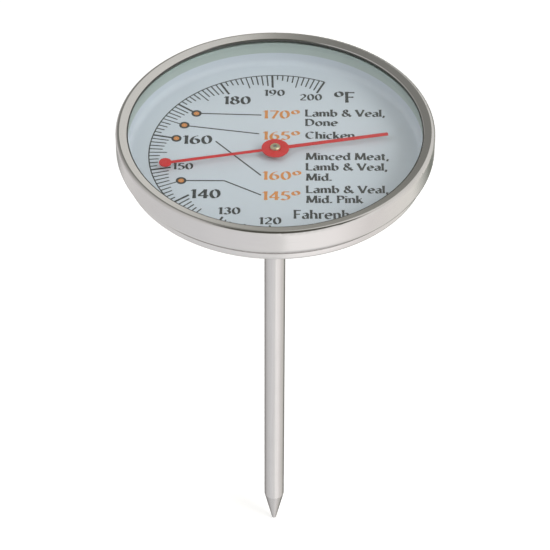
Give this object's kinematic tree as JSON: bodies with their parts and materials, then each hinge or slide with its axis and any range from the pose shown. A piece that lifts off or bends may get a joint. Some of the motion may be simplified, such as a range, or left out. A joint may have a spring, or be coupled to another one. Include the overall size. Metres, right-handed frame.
{
  "type": "dial meat thermometer",
  "caption": "Large round bimetal dial meat thermometer with a long pointed stem, a glazed stainless head and a red pointer that turns over a Fahrenheit scale.",
  "frame": {"origin": "on the stem axis, where the stem comes out of the underside of the case back", "axes": "+Z from the stem up to the dial along the stem axis, +Y towards twelve o'clock on the dial, +X towards three o'clock"},
  "size_m": [0.0762, 0.0762, 0.137],
  "materials": {
    "bezel_steel": "satin, turned along the circumference",
    "case_steel": "semi-bright drawn sheet",
    "glass": "clear, polished",
    "black_rubber": "matte",
    "grey_rubber": "matte",
    "spacer_metal": "satin",
    "dial_face": "pale blue-grey satin print on aluminium",
    "stem_steel": "satin, polished along its length",
    "brass": "turned",
    "bimetal": "rolled strip, slightly tarnished",
    "spindle_steel": "ground",
    "pale_brass": "nickel-tinted, turned",
    "pointer_red": "semi-gloss red enamel",
    "ink_black": "screen-printed ink",
    "ink_orange": "screen-printed ink"
  },
  "bodies": {
    "housing": {"bezel_ring": "bezel_steel", "case_pan": "case_steel", "lens": "glass", "lens_gasket": "black_rubber", "lens_seat_ring": "grey_rubber", "spacer_ring": "spacer_metal", "dial_plate": "dial_face", "stem_tube": "stem_steel", "stem_tip": "stem_steel", "stem_washer": "case_steel", "upper_bearing": "brass", "middle_bearing": "brass", "lower_bearing": "brass", "coil_anchor": "brass", "bimetal_coil": "bimetal"},
    "movement": {"coil_hub": "brass", "spindle": "spindle_steel", "spindle_collar": "spindle_steel", "pointer_bush": "pale_brass", "pointer": "pointer_red"}
  },
  "joints": [
    {"name": "pointer_turn", "type": "hinge", "parent": "housing", "child": "movement", "pos_m": [0, 0, 0], "axis": [0, 0, 1], "range_deg": [-156, 201], "stiffness_Nm_per_rad": 0.0001, "deforming": ["bimetal_coil"]}
  ]
}
